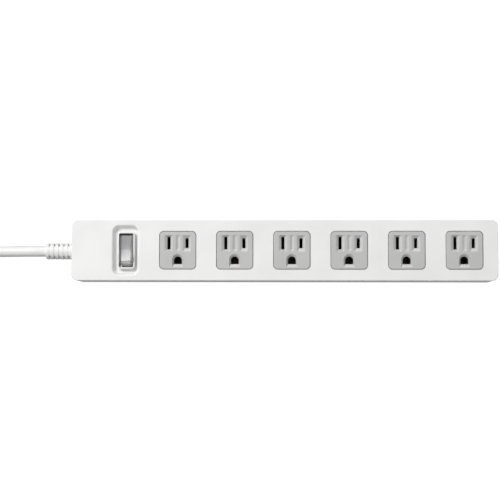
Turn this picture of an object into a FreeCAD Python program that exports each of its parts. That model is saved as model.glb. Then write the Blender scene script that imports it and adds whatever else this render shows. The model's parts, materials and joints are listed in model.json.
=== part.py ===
import FreeCAD, Part

import math
import os
import sys

import Sketcher

# A six-way power strip for three-pin plugs, in millimetres. +X runs along the strip, away from the cord,
# +Y to the long side that the blade slots are nearest, +Z up out of the outlets. The origin is the middle
# of the housing's underside.

VEC = FreeCAD.Vector
OUTLETS = 6
RELIEF_SLOTS = 5
# Where the cord runs onto the hank's first turn, as an angle about its near end.
HANK_ENTRY = math.radians(60)

SIZES = {
    # Housing: two drafted shells that meet at the height of the cord.
    "foot_length": 298.6, "foot_width": 43.0, "body_height": 28.0, "plan_radius": 4.5,
    "edge_radius": 0.5, "side_draft": 0.5, "wall": 2.0, "face_thickness": 2.2, "floor_thickness": 2.0,
    "parting_height": 12.0, "rim_height": 2.5, "rim_thickness": 1.2, "rim_gap": 0.15, "root_depth": 0.5,
    "cut_past": 1.0,
    # Housing screws, driven from below.
    "screw_radius": 1.45, "screw_gap": 0.05, "screw_length": 12.0, "screw_head_radius": 2.8,
    "screw_head_height": 2.0, "screw_seat": 5.0, "seat_radius": 3.2, "boss_radius": 2.6,
    "column_radius": 4.5, "column_collar": 6.0, "middle_screw_y": 6.0, "left_screw_x": -141.0,
    "left_screw_y": 14.0, "right_screw_x": 142.9,
    # Keyholes in the underside, for hanging on two screws.
    "keyhole_radius": 4.0, "keyhole_neck": 4.0, "keyhole_travel": 8.0, "keyhole_y": -5.0,
    "keyhole_skin": 1.2, "keyhole_depth": 3.8, "keyhole_roof": 4.8,
    # Outlets.
    "pitch": 40.0, "first_outlet": -74.2, "insert_length": 25.5, "insert_width": 26.5,
    "insert_radius": 2.9, "insert_gap": 0.3, "insert_recess": 0.2, "insert_edge": 0.7,
    "flange_lap": 1.5, "flange_thickness": 1.6, "blade_x": 6.35, "blade_y": 5.0, "neutral_slot": 8.8,
    "line_slot": 7.0, "slot_width": 2.2, "hopper_width": 5.9, "hopper_length": 11.4,
    "hopper_depth": 1.6, "hopper_shift": -0.25, "groove_width": 3.2, "groove_floor": 0.5,
    "groove_depth": 0.9, "ground_y": -7.0, "ground_width": 5.6, "ground_height": 5.5,
    "ground_hopper_width": 7.8, "ground_hopper_height": 9.4, "ground_hopper_y": -6.5, "slot_round": 0.3,
    "hopper_round": 0.5, "groove_floor_round": 0.2, "groove_round": 0.8,
    # Contacts and bus bars, held by cross walls and posts of the lower shell.
    "cross_wall": 1.6, "cross_wall_reach": 17.9, "bus_thickness": 0.8, "bus_height": 6.0,
    "bus_low": 6.5, "bus_gap": 0.15, "bus_start": -92.0, "bus_overrun": 10.0, "neutral_bus_y": 13.5,
    "line_bus_y": -2.0, "ground_bus_y": -14.5, "leaf_thickness": 0.6, "leaf_gap": 2.0,
    "leaf_width": 6.0, "leaf_top": 21.0, "pinch_radius": 0.4, "pinch_height": 17.0, "contact_seat": 8.0,
    "ground_seat": 5.0, "post_margin": 0.5, "ground_tube_bore": 2.45, "ground_tube_radius": 3.1,
    "ground_tube_top": 20.0, "ground_tube_slit": 1.2,
    # Switch: a basin in the upper face, a collar, and a snap-action module below.
    "switch_x": -110.6, "basin_shift": -0.4, "basin_length": 18.3, "basin_width": 34.9,
    "basin_radius": 4.75, "basin_slope": 1.8, "basin_depth": 4.0, "basin_rim": 1.2, "basin_fillet": 1.0,
    "basin_skin": 1.6, "basin_margin": 1.0, "collar_length": 12.2, "collar_width": 26.3,
    "collar_radius": 2.6, "collar_rise": 3.4, "collar_round": 0.45, "mouth_length": 10.2,
    "mouth_width": 23.9, "mouth_radius": 1.0, "case_wall": 1.6, "case_gap": 0.2, "case_floor": 7.2,
    "case_floor_thickness": 1.4, "pivot_height": 20.2, "pin_radius": 1.2, "pin_gap": 0.05,
    "pin_length": 1.3, "rocker_length": 9.8, "rocker_radius": 11.75, "rocker_end": 8.1,
    "rocker_middle": 6.0, "carrier_thickness": 1.2, "carrier_gap": 0.05, "rocker_skirt": 2.2,
    "rocker_corner": 0.9, "rocker_wall": 1.1, "rocker_end_wall": 1.6, "rocker_roof": 1.8,
    "rocker_tilt": 10.0, "guide_radius": 2.5, "guide_low": 3.4, "plunger_radius": 1.5,
    "plunger_gap": 0.1, "plunger_tip": 7.0, "plunger_top": 1.0, "spring_wire": 0.2,
    "spring_radius": 1.1, "spring_turns": 6.0, "lever_gap": 0.3, "lever_thickness": 0.8,
    "lever_width": 4.0, "lever_reach": 9.5, "lever_tilt": 6.0, "rivet_radius": 1.3, "rivet_height": 0.8,
    "contact_y": 8.0, "contact_top": 10.0, "terminal_width": 5.0, "terminal_thickness": 0.8,
    "terminal_low": 3.2, "terminal_gap": 0.05, "lamp_radius": 1.5, "lamp_length": 6.0, "lamp_x": 3.7,
    "lamp_y": 2.0, "lamp_gap": 0.3, "resistor_radius": 1.1, "resistor_length": 6.0, "resistor_x": -13.0,
    "resistor_height": 4.6, "resistor_stub": 2.0, "lead_radius": 0.3, "lead_gap": 0.2, "case_post": 4.0,
    "case_post_x": 4.5, "case_post_y": 11.4, "case_round": 1.0, "case_room_round": 0.5,
    # Cord entry.
    "cord_radius": 3.8, "cord_gap": 0.05, "cord_height": 12.0, "cord_start": -129.0,
    "relief_length": 20.4, "relief_wall": 1.9, "relief_nose": 1.0, "relief_nose_wall": 1.3,
    "relief_neck_wall": 0.7, "relief_neck_gap": 0.1, "relief_flange_wall": 2.2,
    "relief_flange_thickness": 2.5, "relief_pitch": 3.38, "relief_slot": 1.6, "relief_slot_depth": 1.5,
    "relief_web": 6.6, "relief_side_web": 1.4, "relief_groove": 0.8, "relief_groove_depth": 0.3,
    "relief_first": 3.95, "clamp_x": -136.0, "clamp_length": 6.0, "clamp_width": 21.2,
    "clamp_low": 12.6, "clamp_top": 18.0, "saddle_top": 11.0, "clamp_screw_y": 8.0,
    "clamp_screw_radius": 1.1, "clamp_screw_head": 2.2, "clamp_head_height": 1.4,
    "clamp_screw_length": 12.0, "wire_radius": 1.4, "wire_y": 16.0, "core_offset": 1.75,
    "core_spread": 13.0, "core_lift": 1.0, "spread_lift": 1.5, "wire_height": 4.6, "wire_lead": 4.0,
    "supply_turn": 9.0, "supply_lift": 0.6, "switched_lift": 1.0, "switched_lead": 8.0,
    "switched_end": 5.0, "free_run_end": -186.0,
    # Free cord, its hank and the plug on its end.
    "hank_inner": 25.0, "hank_straight": 54.0, "hank_layers": 4.0, "hank_end_x": -257.9,
    "hank_y": -15.2, "lead_rise": 12.0, "lead_lift": 1.0, "lead_drop": 2.0, "tie_thickness": 0.8,
    "tie_width": 15.0, "plug_length": 38.0, "plug_width": 26.0, "plug_height": 22.0, "plug_round": 4.0,
    "plug_y": -38.6, "plug_tail": 24.0, "plug_tail_wall": 0.8, "plug_tail_base": 7.0,
    "plug_blade_length": 17.5, "plug_blade_width": 6.35, "plug_blade_thickness": 1.5,
    "plug_pin_length": 21.0, "plug_pin_radius": 2.4, "plug_pin_root": 8.0, "plug_root_radius": 1.7,
    "plug_blade_rise": 4.0,
}

doc = FreeCAD.newDocument("power_strip")
sheet = doc.addObject("Spreadsheet::Sheet", "size")
nodes = {}


def fill_sheet():
    for row, (alias, value) in enumerate(SIZES.items(), 1):
        sheet.set(f"A{row}", alias)
        sheet.set(f"B{row}", str(value))
        sheet.setAlias(f"B{row}", alias)
    doc.recompute()


def cell(alias):
    return float(sheet.get(alias))


# Expressions: every size below is written in the sheet's aliases, which `bind` turns into cell references.


def bind(text):
    """The expression with each alias written as a reference to its cell."""
    words = str(text).replace("(", " ( ").replace(")", " ) ").split()
    return " ".join(f"size.{w}" if w in SIZES else w for w in words).replace("tan (", "tan(")


def place(thing, x="0", y="0", z="0"):
    for axis, text in zip("xyz", (x, y, z)):
        thing.setExpression(f"Placement.Base.{axis}", bind(text))


def centred(middle, length):
    """The two faces of a stretch of that length about a middle."""
    return f"({middle}) - ({length}) / 2", f"({middle}) + ({length}) / 2"


def block(name, x, y, z):
    """A box between two expressions along each axis."""
    box = doc.addObject("Part::Box", name)
    for size, (low, high) in zip(("Length", "Width", "Height"), (x, y, z)):
        box.setExpression(size, bind(f"({high}) - ({low})"))
    place(box, x[0], y[0], z[0])
    return box


TURNS = {
    "z": FreeCAD.Rotation(),
    "x": FreeCAD.Rotation(VEC(0, 1, 0), 90),
    "y": FreeCAD.Rotation(VEC(1, 0, 0), -90),
}


def rod(name, axis, radius, start, length, end_radius=None):
    """A cylinder, or a cone if it has an end radius, from a start point along an axis."""
    thing = doc.addObject("Part::Cylinder" if end_radius is None else "Part::Cone", name)
    thing.Placement = FreeCAD.Placement(VEC(), TURNS[axis])
    thing.setExpression("Height", bind(length))
    if end_radius is None:
        thing.setExpression("Radius", bind(radius))
    else:
        thing.setExpression("Radius1", bind(radius))
        thing.setExpression("Radius2", bind(end_radius))
    place(thing, *start)
    return thing


def joined(name, things):
    fuse = doc.addObject("Part::MultiFuse", name)
    fuse.Shapes = things
    fuse.Refine = True
    return fuse


def without(name, base, tools):
    cut = doc.addObject("Part::Cut", name)
    cut.Base = base
    cut.Tool = tools[0] if len(tools) == 1 else joined(name + "_tools", tools)
    cut.Refine = True
    return cut


def node(name, thing):
    """Names a finished sub-part. The label is also its file's name."""
    thing.Label = name
    nodes[name] = thing
    return thing


# Sketched bodies.


def origin_plane(body, role):
    return next(f for f in body.Origin.OriginFeatures if f.Role == role)


def new_sketch(body, name, role="XY_Plane", x="0", y="0", z="0"):
    sketch = body.newObject("Sketcher::SketchObject", name)
    sketch.AttachmentSupport = [(origin_plane(body, role), "")]
    sketch.MapMode = "FlatFace"
    for axis, text in zip("xyz", (x, y, z)):
        sketch.setExpression(f"AttachmentOffset.Base.{axis}", bind(text))
    return sketch


def constrain(sketch, named):
    """Adds driving constraints, each bound to an expression."""
    for name, (constraint, text) in named.items():
        sketch.renameConstraint(sketch.addConstraint(constraint), name)
        sketch.setExpression(f"Constraints.{name}", bind(text))


def outline(body, name, length, width, radius, x="0", y="0", z="0"):
    """A rounded rectangle about (x, y), on the plane at height z."""
    sketch = new_sketch(body, name, x=x, y=y, z=z)
    half_x, half_y, corner = 10.0, 8.0, 2.0
    in_x, in_y = half_x - corner, half_y - corner
    for turn, (cx, cy) in enumerate([(in_x, in_y), (-in_x, in_y), (-in_x, -in_y), (in_x, -in_y)]):
        circle = Part.Circle(VEC(cx, cy, 0), VEC(0, 0, 1), corner)
        sketch.addGeometry(Part.ArcOfCircle(circle, turn * math.pi / 2, (turn + 1) * math.pi / 2), False)
    sides = [
        ((in_x, half_y), (-in_x, half_y)),
        ((-half_x, in_y), (-half_x, -in_y)),
        ((-in_x, -half_y), (in_x, -half_y)),
        ((half_x, -in_y), (half_x, in_y)),
    ]
    for start, end in sides:
        sketch.addGeometry(Part.LineSegment(VEC(*start, 0), VEC(*end, 0)), False)
    rule = Sketcher.Constraint
    for arc in range(4):
        side = arc + 4
        sketch.addConstraint(rule("Tangent", arc, 2, side, 1))
        sketch.addConstraint(rule("Tangent", side, 2, (arc + 1) % 4, 1))
        sketch.addConstraint(rule("Vertical" if arc % 2 else "Horizontal", side))
    sketch.addConstraint([rule("Equal", 0, arc) for arc in (1, 2, 3)])
    constrain(sketch, {
        "left": (rule("DistanceX", 5, 1, -1, 1, half_x), f"({length}) / 2"),
        "right": (rule("DistanceX", -1, 1, 7, 1, half_x), f"({length}) / 2"),
        "top": (rule("DistanceY", -1, 1, 4, 1, half_y), f"({width}) / 2"),
        "bottom": (rule("DistanceY", 6, 1, -1, 1, half_y), f"({width}) / 2"),
        "corner": (rule("Radius", 0, corner), radius),
    })
    return sketch


def arched(body, name, width, height, x, y, z):
    """A D on its back: a half round towards +Y about (x, y), square corners towards -Y."""
    sketch = new_sketch(body, name, x=x, y=y, z=z)
    half, drop = 3.0, 3.0
    sketch.addGeometry(Part.ArcOfCircle(Part.Circle(VEC(), VEC(0, 0, 1), half), 0, math.pi), False)
    sides = [((-half, 0), (-half, -drop)), ((-half, -drop), (half, -drop)), ((half, -drop), (half, 0))]
    for start, end in sides:
        sketch.addGeometry(Part.LineSegment(VEC(*start, 0), VEC(*end, 0)), False)
    rule = Sketcher.Constraint
    sketch.addConstraint([
        rule("Coincident", 0, 3, -1, 1),
        rule("Tangent", 0, 2, 1, 1),
        rule("Coincident", 1, 2, 2, 1),
        rule("Coincident", 2, 2, 3, 1),
        rule("Coincident", 3, 2, 0, 1),
        rule("Vertical", 1),
        rule("Horizontal", 2),
        rule("Vertical", 3),
    ])
    constrain(sketch, {
        "half_width": (rule("Radius", 0, half), f"({width}) / 2"),
        "flat": (rule("DistanceY", 1, 2, -1, 1, drop), f"({height}) - ({width}) / 2"),
    })
    return sketch


def grown(body, name, sketch, length, draft=None):
    pad = body.newObject("PartDesign::Pad", name)
    pad.Profile = sketch
    pad.setExpression("Length", bind(length))
    if draft:
        pad.setExpression("TaperAngle", bind(f"0 - {draft}"))
    return pad


def sunk(body, name, low, high):
    """Cuts a tapered hollow between two sketches."""
    loft = body.newObject("PartDesign::SubtractiveLoft", name)
    loft.Profile = low
    loft.Sections = [(high, [""])]
    loft.Ruled = True
    return loft


def pierced(body, name, sketch, length):
    pocket = body.newObject("PartDesign::Pocket", name)
    pocket.Profile = sketch
    pocket.setExpression("Length", bind(length))
    return pocket


def rounded(body, name, feature, radius, height):
    """Fillets the edges that lie level at a height."""
    doc.recompute()
    edges = [
        f"Edge{index}"
        for index, edge in enumerate(feature.Shape.Edges, 1)
        if abs(edge.BoundBox.ZMin - height) < 1e-4 and abs(edge.BoundBox.ZMax - height) < 1e-4
    ]
    fillet = body.newObject("PartDesign::Fillet", name)
    fillet.Base = (feature, edges)
    fillet.setExpression("Radius", bind(radius))
    return fillet


def plate(name, length, width, radius, x, y, z):
    """A rounded rectangular prism about (x, y), between two heights."""
    body = doc.addObject("PartDesign::Body", name)
    sketch = outline(body, name + "_outline", length, width, radius, x, y, z[0])
    grown(body, name + "_pad", sketch, f"({z[1]}) - ({z[0]})")
    return body


# Tubes with a free route: straight runs joined by tangent arcs.


def centreline(points):
    """A wire of straight runs and tangent arcs through the route's points, and its arc radii."""
    points = [VEC(*p) for p in points]
    edges, radii, start = [], [], points[0]
    for before, corner, after in zip(points, points[1:], points[2:]):
        back, ahead = (before - corner).normalize(), (after - corner).normalize()
        turn = math.pi - back.getAngle(ahead)
        reach = 0.45 * min((before - corner).Length, (after - corner).Length)
        radius = reach / math.tan(turn / 2)
        entry, leave = corner + back * reach, corner + ahead * reach
        bisector = (back + ahead).normalize()
        middle = corner + bisector * (radius / math.cos(turn / 2) - radius)
        edges += [Part.LineSegment(start, entry).toShape(), Part.Arc(entry, middle, leave).toShape()]
        radii.append(radius)
        start = leave
    edges.append(Part.LineSegment(start, points[-1]).toShape())
    return Part.Wire(edges), radii


def tube(points, radius):
    """A round tube along a route, checked against its section times its length."""
    path, radii = centreline(points)
    ends = [VEC(*points[0]), VEC(*points[1])]
    profile = Part.Wire(Part.makeCircle(radius, ends[0], ends[1] - ends[0]))
    solid = path.makePipeShell([profile], True, False)
    expected = math.pi * radius**2 * path.Length
    if abs(solid.Volume / expected - 1) > 0.01:
        sys.exit(f"a tube's volume is {solid.Volume:.1f}, not {expected:.1f}")
    return solid, radii, path.Length


def feature(name, shape):
    thing = doc.addObject("Part::Feature", name)
    thing.Shape = shape
    return thing


# Places that several sub-parts share.

OUTLET_X = [f"first_outlet + {n} * pitch" for n in range(OUTLETS)]
BETWEEN_X = [f"first_outlet + {n + 0.5} * pitch" for n in range(OUTLETS - 1)]
SCREWS = [
    ("left_screw_x", "left_screw_y"),
    ("left_screw_x", "0 - left_screw_y"),
    (BETWEEN_X[0], "middle_screw_y"),
    (BETWEEN_X[2], "middle_screw_y"),
    (BETWEEN_X[4], "middle_screw_y"),
    ("right_screw_x", "0"),
]
KEYHOLE_X = [BETWEEN_X[1], BETWEEN_X[3]]
BUSES = {"neutral": "neutral_bus_y", "line": "line_bus_y", "ground": "ground_bus_y"}
UNDERSIDE = "body_height - face_thickness"
INSERT_LOW = f"{UNDERSIDE} - flange_thickness"
BASIN_FLOOR = "body_height - basin_depth"
CASE_TOP = f"{BASIN_FLOOR} - basin_skin"
CASE_INSIDE = "mouth_length + 2 * case_gap"
CASE_INSIDE_Y = "2 * rocker_radius + 4 * case_gap"
CASE_LENGTH = f"{CASE_INSIDE} + 2 * case_wall"
CASE_WIDTH = f"{CASE_INSIDE_Y} + 2 * case_wall"
CASE_DECK = "case_floor + case_floor_thickness"
FULCRUM = "pivot_height - plunger_tip - lever_gap - lever_thickness"
LAMP_LEAD_Y = {"load": "0 - wire_radius - 3 * lead_radius",
               "resistor": "lamp_y + lamp_length + 3 * lead_radius"}
WALL_OUT = "0 - foot_length / 2"


def housing_shell():
    """The whole closed housing, hollow, before it is parted in two."""
    body = doc.addObject("PartDesign::Body", "housing_block")
    sketch = outline(body, "housing_outline", "foot_length", "foot_width", "plan_radius")
    pad = grown(body, "housing_pad", sketch, "body_height", "side_draft")
    rounded(body, "housing_rounding", pad, "edge_radius", cell("body_height"))
    room = doc.addObject("PartDesign::Body", "housing_room")
    inner = outline(
        room, "room_outline", "foot_length - 2 * wall", "foot_width - 2 * wall", "plan_radius - wall",
        z="floor_thickness",
    )
    grown(room, "room_pad", inner, f"{UNDERSIDE} - floor_thickness", "side_draft")
    return without("housing_shell", body, [room])


def half_space(name, z):
    """A box larger than the housing, between two heights."""
    return block(name, ("0 - foot_length", "foot_length"), ("0 - foot_width", "foot_width"), z)


def top_cover(shell):
    over = "body_height + cut_past"
    solids = [
        without("upper_shell", shell, [half_space("below_parting", ("0 - cut_past", "parting_height"))]),
        block(
            "basin_block", centred("switch_x + basin_shift", "basin_length + 2 * basin_margin"),
            centred("0", "basin_width + 2 * basin_margin"), (CASE_TOP, f"{UNDERSIDE} + root_depth"),
        ),
    ]
    tools = []
    for index, (x, y) in enumerate(SCREWS, 1):
        height = f"{UNDERSIDE} + root_depth - parting_height"
        solids.append(rod(f"boss_{index}", "z", "boss_radius", (x, y, "parting_height"), height))
        pilot = "screw_seat + screw_length - parting_height + cut_past"
        tools.append(rod(f"pilot_{index}", "z", "screw_radius + screw_gap", (x, y, "parting_height"), pilot))
    for index, x in enumerate(OUTLET_X, 1):
        tools.append(plate(
            f"window_{index}", "insert_length + 2 * insert_gap", "insert_width + 2 * insert_gap",
            "insert_radius + insert_gap", x, "0", (f"{UNDERSIDE} - cut_past", over),
        ))
    basin = doc.addObject("PartDesign::Body", "basin")
    low = outline(
        basin, "basin_floor", "basin_length - 2 * basin_slope", "basin_width - 2 * basin_slope",
        "basin_radius - basin_slope", "switch_x + basin_shift", "0", BASIN_FLOOR,
    )
    high = outline(basin, "basin_mouth", "basin_length", "basin_width", "basin_radius",
                   "switch_x + basin_shift", "0", "body_height")
    loft = basin.newObject("PartDesign::AdditiveLoft", "basin_loft")
    loft.Profile = low
    loft.Sections = [(high, [""])]
    loft.Ruled = True
    tools.append(basin)
    tools.append(plate("mouth", "mouth_length", "mouth_width", "mouth_radius", "switch_x", "0",
                       (f"{CASE_TOP} - cut_past", over)))
    tools.append(neck_hole("upper_neck_hole"))
    cover = without("cover_with_basin", joined("cover_solids", solids), tools)
    cover = softened("basin_rim_rounding", cover, "basin_rim", cell("body_height"))
    cover = softened("basin_floor_rounding", cover, "basin_fillet",
                     cell("body_height") - cell("basin_depth"))
    collar = doc.addObject("PartDesign::Body", "collar")
    ring = outline(collar, "collar_outline", "collar_length", "collar_width", "collar_radius", "switch_x",
                   "0", f"{BASIN_FLOOR} - root_depth")
    pad = grown(collar, "collar_pad", ring, "collar_rise + root_depth")
    rounded(collar, "collar_rounding", pad, "collar_round",
            cell("body_height") - cell("basin_depth") + cell("collar_rise"))
    hole = plate("collar_mouth", "mouth_length", "mouth_width", "mouth_radius", "switch_x", "0",
                 (f"{BASIN_FLOOR} - 2 * root_depth", over))
    node("top_cover", joined("top_cover", [cover, without("collar_ring", collar, [hole])]))


def softened(name, thing, radius, height):
    """Rounds the basin's level edges at a height, but not the mouth's."""
    doc.recompute()
    reach_x = cell("basin_length") / 2 - cell("basin_shift") + 1e-3
    reach_y = cell("basin_width") / 2 + 1e-3
    mouth_x, mouth_y = cell("mouth_length") / 2 + 1e-3, cell("mouth_width") / 2 + 1e-3
    fillet = doc.addObject("Part::Fillet", name)
    fillet.Base = thing
    edges = []
    for index, edge in enumerate(thing.Shape.Edges, 1):
        box, middle = edge.BoundBox, edge.CenterOfMass
        across, along = abs(middle.x - cell("switch_x")), abs(middle.y)
        in_mouth = across < mouth_x and along < mouth_y
        level = abs(box.ZMin - height) < 1e-4 and abs(box.ZMax - height) < 1e-4
        if level and across < reach_x and along < reach_y and not in_mouth:
            edges.append((index, cell(radius), cell(radius)))
    fillet.Edges = edges
    return fillet


def neck_hole(name):
    """The round hole in the end wall that the strain relief's neck sits in."""
    return rod(name, "x", "cord_radius + relief_neck_wall + relief_neck_gap",
               (f"{WALL_OUT} - cut_past", "0", "cord_height"), "wall + 2 * cut_past")


def keyhole(index, x):
    """The hollow of one keyhole: a round mouth, a narrow neck and a wide room behind it."""
    end_y = "keyhole_y + keyhole_travel"
    depth = "keyhole_depth + cut_past"
    low = "0 - cut_past"
    room = "keyhole_depth - keyhole_skin"
    return [
        rod(f"keyhole_mouth_{index}", "z", "keyhole_radius", (x, "keyhole_y", low), depth),
        rod(f"keyhole_neck_end_{index}", "z", "keyhole_neck / 2", (x, end_y, low), depth),
        block(f"keyhole_neck_{index}", centred(x, "keyhole_neck"), ("keyhole_y", end_y),
              (low, "keyhole_depth")),
        rod(f"keyhole_room_end_{index}", "z", "keyhole_radius", (x, end_y, "keyhole_skin"), room),
        block(f"keyhole_room_{index}", centred(x, "2 * keyhole_radius"), ("keyhole_y", end_y),
              ("keyhole_skin", "keyhole_depth")),
    ]


def bottom_cover(shell):
    root = "floor_thickness - root_depth"
    lower = without("lower_shell", shell, [
        half_space("above_parting", ("parting_height", "body_height + cut_past")),
    ])
    rim_out = "wall + rim_gap + parting_height * tan ( side_draft )"
    rim_in = f"{rim_out} + rim_thickness"
    rim_z = ("parting_height - rim_height", "parting_height + rim_height")
    rim = without("rim", plate(
        "rim_block", f"foot_length - 2 * ({rim_out})", f"foot_width - 2 * ({rim_out})",
        "plan_radius - wall", "0", "0", rim_z,
    ), [plate(
        "rim_room", f"foot_length - 2 * ({rim_in})", f"foot_width - 2 * ({rim_in})",
        "plan_radius - wall - rim_thickness / 2", "0", "0",
        (f"{rim_z[0]} - cut_past", f"{rim_z[1]} + cut_past"),
    )])
    step = without("rim_step", plate(
        "rim_step_block", "foot_length - 2 * wall + rim_gap", "foot_width - 2 * wall + rim_gap",
        "plan_radius - wall", "0", "0", (rim_z[0], "parting_height"),
    ), [plate(
        "rim_step_room", f"foot_length - 2 * ({rim_in})", f"foot_width - 2 * ({rim_in})",
        "plan_radius - wall - rim_thickness / 2", "0", "0",
        (f"{rim_z[0]} - cut_past", f"{rim_z[1]} + cut_past"),
    )])
    solids, tools = [lower, rim, step], []
    for index, (x, y) in enumerate(SCREWS, 1):
        solids.append(rod(f"column_{index}", "z", "boss_radius", (x, y, root), f"parting_height - ({root})"))
        solids.append(rod(f"column_collar_{index}", "z", "column_radius", (x, y, root),
                          f"column_collar - ({root})"))
        tools.append(rod(f"counterbore_{index}", "z", "seat_radius", (x, y, "0 - cut_past"),
                         "screw_seat + cut_past"))
        tools.append(rod(f"clearance_{index}", "z", "screw_radius + screw_gap", (x, y, "0"),
                         "parting_height + cut_past"))
    for index, x in enumerate(OUTLET_X, 1):
        for side, sign in (("a", "-"), ("b", "+")):
            outer = f"{x} {sign} (insert_length / 2 + flange_lap)"
            inner = f"{x} {sign} (insert_length / 2 + flange_lap - cross_wall)"
            faces = (outer, inner) if sign == "-" else (inner, outer)
            solids.append(block(f"cross_wall_{index}{side}", faces,
                                ("0 - cross_wall_reach", "cross_wall_reach"), (root, INSERT_LOW)))
        for name, dx in (("neutral", "- blade_x"), ("line", "+ blade_x")):
            across = centred(f"{x} {dx}", "leaf_gap + 2 * leaf_thickness + 2 * post_margin")
            solids.append(block(f"{name}_post_{index}", across, centred("blade_y", "leaf_width"),
                                (root, "contact_seat")))
        solids.append(block(f"ground_post_{index}", centred(x, "2 * ground_tube_radius"),
                            centred("ground_y", "2 * ground_tube_radius"), (root, "ground_seat")))
    for name, y in BUSES.items():
        tools.append(block(
            f"{name}_bus_slot", ("bus_start", f"{OUTLET_X[-1]} + insert_length"),
            centred(y, "bus_thickness + 2 * bus_gap"), ("bus_low", "body_height"),
        ))
    for index, x in enumerate(KEYHOLE_X, 1):
        margin = "keyhole_radius + cut_past"
        solids.append(block(
            f"keyhole_pad_{index}", centred(x, "pitch - insert_length - 2 * flange_lap + root_depth"),
            (f"keyhole_y - ({margin})", f"keyhole_y + keyhole_travel + {margin}"), (root, "keyhole_roof"),
        ))
        tools += keyhole(index, x)
    for index, (dx, dy) in enumerate([("-", "0 -"), ("-", ""), ("+", "0 -"), ("+", "")], 1):
        solids.append(block(
            f"case_post_{index}", centred(f"switch_x {dx} case_post_x", "case_post"),
            centred(f"{dy} case_post_y", "case_post"), (root, "case_floor"),
        ))
    solids.append(block("saddle", ("clamp_x", "clamp_x + clamp_length"), centred("0", "clamp_width"),
                        (root, "saddle_top")))
    tools.append(rod("saddle_groove", "x", "cord_radius + cord_gap",
                     ("clamp_x - cut_past", "0", "cord_height"), "clamp_length + 2 * cut_past"))
    for side, y in (("left", "clamp_screw_y"), ("right", "0 - clamp_screw_y")):
        tools.append(rod(f"saddle_pilot_{side}", "z", "clamp_screw_radius + screw_gap",
                         ("clamp_x + clamp_length / 2", y, "clamp_top - clamp_screw_length - screw_gap"),
                         "clamp_screw_length"))
    tools.append(neck_hole("lower_neck_hole"))
    tools.append(rod(
        "flange_pocket", "x", "cord_radius + relief_flange_wall + relief_neck_gap",
        (f"{WALL_OUT} + wall + parting_height * tan ( side_draft )", "0", "cord_height"),
        "relief_flange_thickness + 2 * relief_neck_gap",
    ))
    node("bottom_cover", without("bottom_cover", joined("bottom_solids", solids), tools))


def housing_screws():
    parts = []
    for index, (x, y) in enumerate(SCREWS, 1):
        head = rod(f"screw_head_{index}", "z", "screw_head_radius",
                   (x, y, "screw_seat - screw_head_height"), "screw_head_height")
        shank = rod(f"screw_shank_{index}", "z", "screw_radius", (x, y, "screw_seat"), "screw_length")
        cross = [
            block(f"screw_cross_{index}{way}", centred(x, size[0]), centred(y, size[1]),
                  ("screw_seat - screw_head_height", "screw_seat - screw_head_height / 2"))
            for way, size in (("a", ("screw_radius * 2", "screw_radius / 2")),
                              ("b", ("screw_radius / 2", "screw_radius * 2")))
        ]
        parts.append(without(f"screw_{index}", joined(f"screw_solid_{index}", [head, shank]), cross))
    group = doc.addObject("Part::Compound", "housing_screws")
    group.Links = parts
    node("housing_screws", group)


def outlet_insert(index, x):
    """One grey outlet face: hoppers that guide the pins into two blade slots and a ground hole."""
    face = "body_height - insert_recess"
    hopper_floor = f"{face} - hopper_depth"
    body = doc.addObject("PartDesign::Body", f"outlet_insert_{index}")
    name = f"insert_{index}_"
    sketch = outline(body, name + "face", "insert_length", "insert_width", "insert_radius", x, "0",
                     INSERT_LOW)
    pad = grown(body, name + "plate", sketch, f"{face} - ({INSERT_LOW})")
    rounded(body, name + "bevel", pad, "insert_edge", cell("body_height") - cell("insert_recess"))
    flange = outline(body, name + "flange", "insert_length + 2 * flange_lap", "insert_width + 2 * flange_lap",
                     "insert_radius + flange_lap", x, "0", INSERT_LOW)
    grown(body, name + "flange_pad", flange, "flange_thickness")
    slots = (("neutral", "- blade_x", "neutral_slot"), ("line", "+ blade_x", "line_slot"))
    for slot, dx, length in slots:
        at = (f"{x} {dx}", "blade_y")
        low = outline(body, name + slot + "_low", "slot_width", length, "slot_round", *at, hopper_floor)
        high = outline(body, name + slot + "_high", "hopper_width", "hopper_length", "hopper_round",
                       at[0], "blade_y + hopper_shift", face)
        sunk(body, name + slot + "_hopper", low, high)
        through = outline(body, name + slot + "_slot", "slot_width", length, "slot_round", *at, face)
        pierced(body, name + slot + "_through", through, "body_height")
    low = outline(body, name + "groove_low", "groove_floor", "hopper_length - groove_width",
                  "groove_floor_round", x, "blade_y", f"{face} - groove_depth")
    high = outline(body, name + "groove_high", "groove_width", "hopper_length", "groove_round", x,
                   "blade_y", face)
    sunk(body, name + "groove", low, high)
    low = arched(body, name + "ground_low", "ground_width", "ground_height", x, "ground_y", hopper_floor)
    high = arched(body, name + "ground_high", "ground_hopper_width", "ground_hopper_height", x,
                  "ground_hopper_y", face)
    sunk(body, name + "ground_hopper", low, high)
    hole = arched(body, name + "ground_hole", "ground_width", "ground_height", x, "ground_y", face)
    pierced(body, name + "ground_through", hole, "body_height")
    node(f"outlet_insert_{index}", body)


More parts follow.
